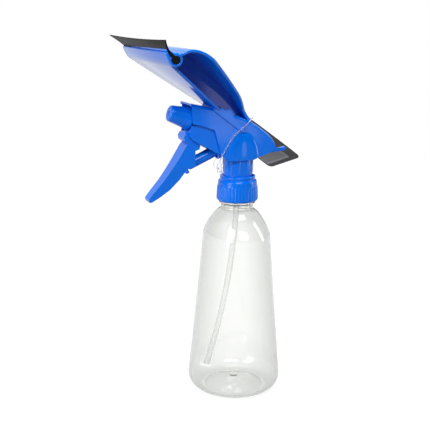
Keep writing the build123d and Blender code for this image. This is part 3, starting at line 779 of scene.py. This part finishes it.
TAG_CORNER = np.array((11.5, 14.0, 233.2))
TAG_ALONG = np.array((math.cos(math.radians(34.5)), 0.0, -math.sin(math.radians(34.5))))
TAG_ROLL = math.radians(25.5)
TAG_HOLE = np.array((5.0, 6.0))
TAG_HOLE_RADIUS = 2.2


def rounded_rectangle(length, width, radius, per_corner=8):
    """Outline of a rectangle from its corner at 0, 0, its corners quarter circles."""
    return np.vstack([
        arc((length - radius, radius), radius, -90, 0, per_corner),
        arc((length - radius, width - radius), radius, 0, 90, per_corner),
        arc((radius, width - radius), radius, 90, 180, per_corner),
        arc((radius, radius), radius, 180, 270, per_corner)])


def tag_mesh(name, length, width, thickness):
    """Thin card with round corners and a hole, slightly bowed.

    Each ring of points is a mix of the hole's circle and the card's outline, at equal steps
    between them. The rings run out over the upper face and back under the lower one. The bow
    lowers a point by the square of its distance along the card.
    """
    rim = evenly(rounded_rectangle(length, width, 4.0), 1.2)
    angle = np.arctan2(*(rim - TAG_HOLE).T[::-1])
    hole = TAG_HOLE + TAG_HOLE_RADIUS * np.column_stack([np.cos(angle), np.sin(angle)])
    share = np.linspace(0, 1, 16)[:, None, None]
    face = hole + (rim - hole) * share
    flat = np.concatenate([face, face[::-1]])
    height = np.concatenate([np.full(face.shape[:2], thickness), np.zeros(face.shape[:2])])
    height = height - 1.6 * (np.maximum(flat[..., 0] - 10, 0) / length) ** 2
    level = np.array((0.0, 1.0, 0.0))
    fall = np.cross(TAG_ALONG, level)
    across = level * math.cos(TAG_ROLL) - fall * math.sin(TAG_ROLL)
    upward = np.cross(TAG_ALONG, across)
    points = (TAG_CORNER + flat[..., :1] * TAG_ALONG + flat[..., 1:] * across
              + height[..., None] * upward)
    return grid_mesh(name, points, wrap_rows=True, uv=flat / 100.0)


class MakeTag(bpy.types.Operator):
    """Make the clear loop, its lock and the dark hang tag."""

    bl_idname = "spraybottle.tag"
    bl_label = "Hang tag"

    def execute(self, context):
        sizes = context.scene.spray_bottle.tag
        lock_rim = evenly(rounded_rectangle(4.6, 8.0, 1.1) + (-24.7, 191.4), 0.5)
        lock = add_piece("tag_lock_paddle", slab("tag_lock_paddle", lock_rim, -16.4, -14.0, 0.5),
                         "head", clear_nylon(), ["tag_lock"])
        curve = bpy.data.curves.new("tag_filament", "CURVE")
        curve.dimensions = "3D"
        curve.bevel_depth = sizes.loop_diameter / 2
        curve.bevel_resolution = 3
        curve.resolution_u = 6
        curve.use_fill_caps = True
        line = curve.splines.new("NURBS")
        line.points.add(len(LOOP_ROUTE) - 1)
        for point, (x, y, z) in zip(line.points, LOOP_ROUTE):
            point.co = (x * MM, y * MM, z * MM, 1.0)
        line.order_u = 3
        line.use_endpoint_u = True
        curve.materials.append(clear_nylon())
        loop = placed("tag_filament", curve)
        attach(loop, "head")
        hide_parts("tag_loop")
        card = tag_mesh("hang_tag", sizes.length / MM, sizes.width / MM, sizes.thickness / MM)
        add_piece("hang_tag", card, "head", tag_card_finish(), ["tag_card"])
        return {"FINISHED"}


# ------------------------------------------------------------------------------ bottle
NECK_HEIGHT = 158.0
NECK_RADIUS = 13.3
SHOULDER_HEIGHT = 137.0
SHOULDER_HALF_X = 26.9
SHOULDER_HALF_Y = 34.2
BODY_RADIUS = 39.3
HEEL_RADIUS = 12.0
DOME_RADIUS = 25.3


def body_wall(inset, punt):
    """Rows of height, half width along X and half width along Y up the bottle's body.

    The base is a dome that falls with the square of the radius to a flat standing ring and a
    quarter circle. The flanks run straight from a circle to an ellipse, and the shoulder
    mixes a quarter ellipse with a straight line as it turns in to the neck.
    """
    dome_r = np.linspace(0, DOME_RADIUS, 16)
    dome_z = inset + punt * (1 - (dome_r / DOME_RADIUS) ** 2)
    dome_z[:2] -= 0.5 if inset == 0 else 0.0
    heel = arc((BODY_RADIUS - HEEL_RADIUS, HEEL_RADIUS), HEEL_RADIUS - inset, -90, 0, 16)
    base = np.vstack([np.column_stack([dome_r, dome_z]), heel])
    base = np.column_stack([base[:, 1], base[:, 0], base[:, 0]])
    share = np.linspace(0, 1, 70)[1:]
    flank = np.column_stack([
        HEEL_RADIUS + (SHOULDER_HEIGHT - HEEL_RADIUS) * share,
        BODY_RADIUS - (BODY_RADIUS - SHOULDER_HALF_X) * share - inset,
        BODY_RADIUS - (BODY_RADIUS - SHOULDER_HALF_Y) * share - inset])
    step = np.sin(np.linspace(0, np.pi / 2, 28))[1:]
    ease = 1 - (1 - np.sqrt(1 - step ** 2)) * 0.42 - step ** 1.15 * 0.58
    neck = NECK_RADIUS - inset
    shoulder = np.column_stack([
        SHOULDER_HEIGHT + (NECK_HEIGHT - SHOULDER_HEIGHT) * step,
        neck + (SHOULDER_HALF_X - inset - neck) * ease,
        neck + (SHOULDER_HALF_Y - inset - neck) * ease])
    return np.vstack([base, flank, shoulder])


def thread_lift(height, angle, start, pitch, turns, half_width):
    """Share of the thread's depth at each height and angle.

    The ridge follows start + pitch * turn and falls off either side of it as a raised
    cosine; it fades in and out over a twelfth of a turn.
    """
    lift = np.zeros(np.broadcast(height, angle).shape)
    for lap in range(math.ceil(turns)):
        turn = angle / (2 * np.pi) + lap
        fade = np.clip(np.minimum(turn, turns - turn) * 12, 0, 1)
        gap = np.clip(np.abs(height - start - pitch * turn) / half_width, 0, 1)
        lift = np.maximum(lift, fade * (1 + np.cos(np.pi * gap)) / 2)
    return lift


def bottle_mesh(name, wall, punt):
    """One closed skin: up the outside, over the mouth and down the inside.

    Each row is an ellipse at one height; the screw thread is added to the neck's radius.
    """
    outside = body_wall(0.0, punt)
    inside = body_wall(wall, punt)[::-1]
    ring = softened(evenly([(158.0, 13.3), (162.6, 13.3), (163.0, 15.0), (163.3, 15.4),
                            (164.0, 15.4), (164.3, 15.0), (164.6, 12.8), (180.0, 12.8),
                            (180.6, 12.3), (180.6, 11.3), (180.0, 10.9), (163.0, 10.9),
                            (160.5, 12.4)], 0.3, closed=False), 1)[1:-1]
    neck = np.column_stack([ring[:, 0], ring[:, 1], ring[:, 1]])
    rows = np.vstack([outside, neck, inside])
    angle = np.linspace(0, 2 * np.pi, 144, endpoint=False)[None, :]
    height = rows[:, 0][:, None]
    on_finish = (np.arange(len(rows))[:, None] > len(outside)) & (rows[:, 1][:, None] > 12.6)
    lift = thread_lift(height, angle, 170.6, 4.233, 1.5, 1.1) * on_finish * (height > 166)
    points = np.stack([(rows[:, 1][:, None] + lift) * np.cos(angle),
                       (rows[:, 2][:, None] + lift) * np.sin(angle),
                       height + 0 * angle], axis=-1)
    return grid_mesh(name, points)


class MakeBottle(bpy.types.Operator):
    """Blow the clear bottle."""

    bl_idname = "spraybottle.bottle"
    bl_label = "Bottle"

    def execute(self, context):
        sizes = context.scene.spray_bottle.bottle
        mesh = bottle_mesh("clear_bottle", sizes.wall / MM, sizes.punt_height / MM)
        add_piece("clear_bottle", mesh, "bottle", clear_pet(), ["bottle"])
        return {"FINISHED"}


class MakeCap(bpy.types.Operator):
    """Turn the ribbed cap and the ribbed sleeve of the collar."""

    bl_idname = "spraybottle.cap"
    bl_label = "Cap"

    def execute(self, context):
        sizes = context.scene.spray_bottle.bottle
        outline = [(15.9, 164.7), (16.6, 165.2), (17.0, 166.4), (16.62, 174.0), (16.15, 180.9),
                   (15.7, 182.0), (15.0, 182.5), (14.3, 182.8), (14.3, 183.4), (14.6, 183.7),
                   (14.7, 184.0), (14.7, 185.5), (14.3, 186.0), (12.75, 186.1), (12.65, 185.9),
                   (12.65, 183.7), (13.9, 183.7), (13.9, 181.3), (14.5, 180.6), (14.5, 164.8)]
        profile = softened(evenly(outline, 0.35), 1)

        def ribs(height, radius, angle):
            """Raised cosine ribs, sharpened by a power, that fade in and out over 1 mm."""
            reach = np.clip(np.minimum(height - 165.4, 178.0 - height) / 1.0, 0, 1)
            ridge = ((1 + np.cos(sizes.rib_count * angle)) / 2) ** 1.6
            return (sizes.rib_height / MM) * ridge * reach * (radius > 15.8)

        mesh = turned("screw_cap", profile, sizes.rib_count * 8, swell=ribs)
        add_piece("screw_cap", mesh, "cap", satin_blue(), ["cap"])

        sleeve = softened(evenly([(12.1, 186.3), (12.3, 186.4), (12.3, 202.6), (12.1, 202.8),
                                  (11.4, 202.8), (11.4, 186.3)], 0.4), 1)

        def bars(height, radius, angle):
            """Twelve flat upright bars with straight flanks."""
            ridge = np.clip(1.5 - np.abs(np.mod(12 * angle / np.pi, 2) - 1) * 6, 0, 1)
            reach = np.clip((height - 187.5) / 0.6, 0, 1)
            return 0.45 * ridge * reach * (radius > 12.0)

        mesh = turned("collar_sleeve", sleeve, 288, swell=bars)
        add_piece("collar_sleeve", mesh, "head", glossy_blue())
        return {"FINISHED"}


# ------------------------------------------------------------------------------ squeegee
BULB = np.array((-73.7, 283.1))


def flare(height, foot, blade):
    """Half width of the arm at a height: straight from the foot's to the blade's."""
    return np.interp(height, [240.0, 283.0], [foot, blade])


class MakeSqueegee(bpy.types.Operator):
    """Make the hollow arm with its channel, and the rubber blade."""

    bl_idname = "spraybottle.squeegee"
    bl_label = "Squeegee"

    def execute(self, context):
        sizes = context.scene.spray_bottle.arm
        foot, blade, thick = sizes.foot_half / MM, sizes.blade_half / MM, sizes.plate / MM
        rear = smooth_line([(7.0, 229.5), (-6.2, 249.4), (-17.6, 261.0), (-35.5, 276.8),
                            (-46.2, 285.4), (-52.8, 288.9), (-58.9, 290.4), (-64.3, 290.0),
                            (-70.6, 287.6), (-75.4, 288.2), (-79.8, 290.9)], 10)
        rear = rear + normals_of(rear) * thick / 2
        front = smooth_line([(-20.6, 240.2), (-34.0, 249.6), (-48.0, 259.5), (-62.0, 269.4),
                             (-72.0, 276.6), (-76.4, 279.9), (-78.6, 283.2), (-80.6, 287.6)], 10)
        rear_plate = plate("rear", rear, flare(rear[:, 1], foot, blade), thick)
        front_plate = plate("front", front, flare(front[:, 1], foot, blade), 2.3)
        channel_line = BULB + arc((0, 0), 4.2, 160, 464, 40)
        channel = plate("channel", channel_line, blade - 0.3, 1.9)
        web = evenly([(-20.8, 241.5), (-66.0, 272.9), (-69.6, 279.5), (-69.2, 286.0),
                      (-64.3, 288.4), (-58.9, 288.9), (-52.8, 287.4), (-46.2, 284.0),
                      (-35.5, 275.4), (-17.6, 259.6), (-6.2, 248.0), (5.0, 231.4),
                      (0.0, 232.0), (-10.0, 235.5), (-20.8, 239.8)], 1.0)
        middle = slab("middle", web, -1.0, 1.0, 0.2)
        lug = evenly(smooth_line([(-27.7, 242.9), (-26.6, 240.4), (-14.6, 231.4), (-2.6, 222.9),
                                  (-0.7, 223.0), (-0.2, 224.8), (-5.4, 230.8), (-10.6, 236.6),
                                  (-11.6, 240.6), (-14.4, 242.2), (-17.2, 241.4), (-20.0, 242.6)],
                                 6, closed=True), 0.6)
        saddle = evenly([(-27.0, 244.2), (-20.1, 242.6), (-10.0, 238.6), (-10.0, 236.2),
                         (-20.1, 240.2), (-27.0, 241.8)], 0.6)
        near = slab("near", lug, -13.5, -11.9, 0.6)
        far = slab("far", lug, 11.9, 13.5, 0.6)
        seat = slab("seat", saddle, -13.3, 13.3, 0.5)
        mesh = joined("squeegee_arm_shell", rear_plate, front_plate, channel, middle,
                      near, far, seat)
        add_piece("squeegee_arm_shell", mesh, "head", glossy_blue(),
                  ["squeegee_arm"])
        add_piece("wiper_blade", blade_mesh("wiper_blade", blade), "head",
                  blade_rubber(), ["squeegee_blade"])
        return {"FINISHED"}


def blade_mesh(name, half):
    """Rubber bulb and lip as one closed section that changes along Y.

    The lip's middle line is a curve with three control points: the channel's mouth, a point
    straight out of it and the tip. The tip runs evenly from one end's place to the other's,
    with a sag in the middle. The lip's thickness falls evenly from the channel to the tip.
    """
    y = np.linspace(-half, half, 48)
    share = ((y + half) / (2 * half))[:, None, None]
    tip = (1 - share) * np.array((-81.9, 297.3)) + share * np.array((-92.5, 297.2))
    tip = tip - np.array((0.0, 1.1)) * 4 * share * (1 - share)
    mouth = np.array((-78.4, 287.9))
    knee = mouth + np.array((-0.669, 0.743)) * 4.2
    t = np.linspace(0, 1, 14)[None, :, None]
    middle = (1 - t) ** 2 * mouth + 2 * t * (1 - t) * knee + t ** 2 * tip
    along = np.gradient(middle, axis=1)
    along = along / np.linalg.norm(along, axis=2, keepdims=True)
    square = np.stack([-along[..., 1], along[..., 0]], axis=-1)
    thick = 2.3 - 1.6 * t
    upper = middle - square * thick / 2
    lower = middle + square * thick / 2
    bulb = BULB + arc((0, 0), 3.0, 132 - 24, 132 + 24 - 360, 26)
    bulb = np.broadcast_to(bulb, (len(y),) + bulb.shape)
    ring = np.concatenate([bulb, lower, upper[:, ::-1]], axis=1)
    points = np.stack([ring[..., 0], np.broadcast_to(y[:, None], ring.shape[:2]),
                       ring[..., 1]], axis=-1)
    return grid_mesh(name, points, capped=True, crease=50)


# ------------------------------------------------------------------------------ head
ROOF_CORNER = 2.4
OUTLET_AXIS = np.array((-math.cos(math.radians(16)), 0.0, math.sin(math.radians(16))))


def shroud_mesh(name, half, wall, bulge):
    """Glossy cover as one closed skin, outside and in.

    Walking along X, the heights of the roof and of the lower rim come from two lines. A
    section runs up one side, round a quarter circle, over the roof and down the other side,
    and comes back inside it a wall's thickness in. Each side swells by the height of a low
    ellipsoid that stands on the collar.
    """
    roof = np.array([(-46.3, 246.9), (-38.8, 245.3), (-20.1, 241.3), (-9.2, 237.2),
                     (-0.8, 234.3), (6.8, 231.0), (14.0, 226.2), (20.0, 221.9), (23.6, 218.7),
                     (26.4, 215.4), (27.8, 212.6), (28.1, 210.8)])
    rim = np.array([(-46.3, 244.5), (-45.0, 244.2), (-44.5, 230.6), (-38.6, 229.7),
                    (-30.0, 227.0), (-25.8, 225.2), (-22.6, 214.6), (-19.7, 205.3),
                    (-17.6, 202.4), (-13.0, 200.0), (7.7, 199.9), (18.0, 203.2), (23.6, 205.2),
                    (26.6, 207.2), (27.8, 209.2), (28.1, 210.6)])
    tail = 18.0 + 10.1 * np.sin(np.linspace(0, np.pi / 2, 22))
    x = np.concatenate([np.linspace(-46.3, -43.6, 10), np.linspace(-43.2, -18.0, 56),
                        np.linspace(-17.6, 17.5, 60), tail])[:, None]
    top = softened_run(np.interp(x[:, 0], *roof.T), 3)[:, None]
    low = softened_run(np.interp(x[:, 0], *rim.T), 1)[:, None]

    def section(inset):
        """Rows of points up one side, over the roof and down the other."""
        height = top - low
        corner = np.clip(np.minimum(ROOF_CORNER - inset, (height - inset) * 0.48), 0.02, None)
        width = half - inset
        turn = np.linspace(0, 90, 9)[None, :]
        rise = np.linspace(0, 1, 36)[None, :-1]
        eaves = np.maximum(top - inset - corner, low + 0.01)
        side_z = low + (eaves - low) * rise
        side_y = np.full(side_z.shape, width)
        round_z = eaves + corner * np.sin(np.radians(turn))
        round_y = width - corner + corner * np.cos(np.radians(turn))
        flat_y = (width - corner) * np.linspace(1, 0, 7)[None, 1:]
        flat_z = np.broadcast_to(eaves + corner, flat_y.shape)
        y = np.concatenate([side_y, round_y, flat_y], axis=1)
        z = np.concatenate([side_z, round_z, flat_z], axis=1)
        swell = 1 - (x / 12.8) ** 2 - ((z - 200.0) / 22.0) ** 2
        y = y + (bulge - half) * np.sqrt(np.maximum(swell, 0)) * (y > width - 0.01)
        y = np.concatenate([-y, y[:, -2::-1]], axis=1)
        z = np.concatenate([z, z[:, -2::-1]], axis=1)
        return np.stack([np.broadcast_to(x, y.shape), y, z], axis=-1)

    outer, inner = section(0.0), section(wall)
    return grid_mesh(name, np.concatenate([outer, inner[:, ::-1]], axis=1), capped=True,
                     crease=35)


class MakeHead(bpy.types.Operator):
    """Make the shroud and the pump body with its cheeks."""

    bl_idname = "spraybottle.head"
    bl_label = "Spray head"

    def execute(self, context):
        sizes = context.scene.spray_bottle.head
        mesh = shroud_mesh("glossy_shroud", sizes.shroud_half / MM, sizes.shroud_wall / MM,
                           sizes.bulge_radius / MM)
        add_piece("glossy_shroud", mesh, "head", glossy_blue(), ["shroud"])
        piece = add_piece("pump_body", merged_copy("pump_body", "valve_body"), "head",
                          satin_blue(), ["valve_body"])
        round_edges(piece, 0.4 * MM)
        return {"FINISHED"}


class MakeTrigger(bpy.types.Operator):
    """Make the finger trigger."""

    bl_idname = "spraybottle.trigger"
    bl_label = "Trigger"

    def execute(self, context):
        piece = add_piece("finger_trigger", merged_copy("finger_trigger", "trigger"), "trigger",
                          satin_blue(), ["trigger"])
        round_edges(piece, 0.6 * MM)
        return {"FINISHED"}


class MakeNozzle(bpy.types.Operator):
    """Turn the adjustable nozzle."""

    bl_idname = "spraybottle.nozzle"
    bl_label = "Nozzle"

    def execute(self, context):
        outline = [(9.3, 45.0), (9.3, 45.4), (8.9, 48.0), (7.0, 60.8), (6.6, 62.2), (5.6, 62.9),
                   (1.7, 62.9), (1.5, 62.1), (0.45, 62.1), (0.45, 56.6), (5.05, 56.6),
                   (5.05, 48.9), (6.45, 48.85), (6.45, 46.95), (5.05, 46.9), (5.05, 45.0)]
        profile = softened(evenly(outline, 0.3), 1)

        def flats(height, radius, angle):
            """Four very shallow flats on the outside, deepest at the front."""
            reach = np.clip((height - 46.0) / 10.0, 0, 1) * np.clip((radius - 5.6) / 1.0, 0, 1)
            return -0.28 * reach * (1 + np.cos(4 * angle)) / 2

        mesh = turned("screw_nozzle", profile, 96, origin=(0, 0, 221.5), axis=OUTLET_AXIS,
                      swell=flats)
        add_piece("screw_nozzle", mesh, "nozzle", satin_blue(), ["nozzle"])
        return {"FINISHED"}


class DressFrameParts(bpy.types.Operator):
    """Give the remaining parts of the frame their finishes."""

    bl_idname = "spraybottle.dress"
    bl_label = "Inner parts"

    def execute(self, context):
        finishes = {
            "trigger_pin": satin_blue, "piston_rod": satin_blue,
            "dip_tube": tube_pe, "tube_socket": natural_pe, "spin_insert": natural_pe,
            "piston_cup": natural_pe, "mouth_gasket": seal_rubber, "outlet_valve": seal_rubber,
            "nozzle_seal": seal_rubber, "return_spring": spring_steel,
            "inlet_ball": spring_steel}
        for name, finish in finishes.items():
            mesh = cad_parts[name].data
            mesh.materials.clear()
            mesh.materials.append(finish())
        return {"FINISHED"}


# ------------------------------------------------------------------------------ add-on
class SprayBottlePanel(bpy.types.Panel):
    """Buttons and settings of the spray bottle."""

    bl_idname = "VIEW3D_PT_spray_bottle"
    bl_label = "Spray Bottle"
    bl_space_type = "VIEW_3D"
    bl_region_type = "UI"
    bl_category = "Spray Bottle"

    def draw(self, context):
        settings = context.scene.spray_bottle
        for operator in OPERATORS:
            self.layout.operator(operator.bl_idname)
        for group in ("bottle", "head", "arm", "tag", "finishes", "stage"):
            box = self.layout.box()
            box.label(text=group.capitalize())
            values = getattr(settings, group)
            for name in values.__annotations__:
                box.prop(values, name)


GROUPS = (BottleSizes, HeadSizes, ArmSizes, TagSizes, Finishes, StageSizes, SprayBottle)
OPERATORS = (MakeStage, MakeTag, MakeBottle, MakeCap, MakeSqueegee, MakeHead, MakeTrigger,
             MakeNozzle, DressFrameParts)


def register():
    """Register the classes and hang the settings on the scene."""
    for cls in GROUPS + OPERATORS + (SprayBottlePanel,):
        bpy.utils.register_class(cls)
    bpy.types.Scene.spray_bottle = PointerProperty(type=SprayBottle)


def unregister():
    """Take the settings off the scene and unregister the classes."""
    del bpy.types.Scene.spray_bottle
    for cls in reversed(GROUPS + OPERATORS + (SprayBottlePanel,)):
        bpy.utils.unregister_class(cls)


def main():
    """Make every piece in order."""
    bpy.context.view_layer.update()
    register()
    bpy.ops.spraybottle.stage()
    bpy.ops.spraybottle.tag()
    bpy.ops.spraybottle.bottle()
    bpy.ops.spraybottle.cap()
    bpy.ops.spraybottle.squeegee()
    bpy.ops.spraybottle.head()
    bpy.ops.spraybottle.trigger()
    bpy.ops.spraybottle.nozzle()
    bpy.ops.spraybottle.dress()


if __name__ == "__main__":
    main()
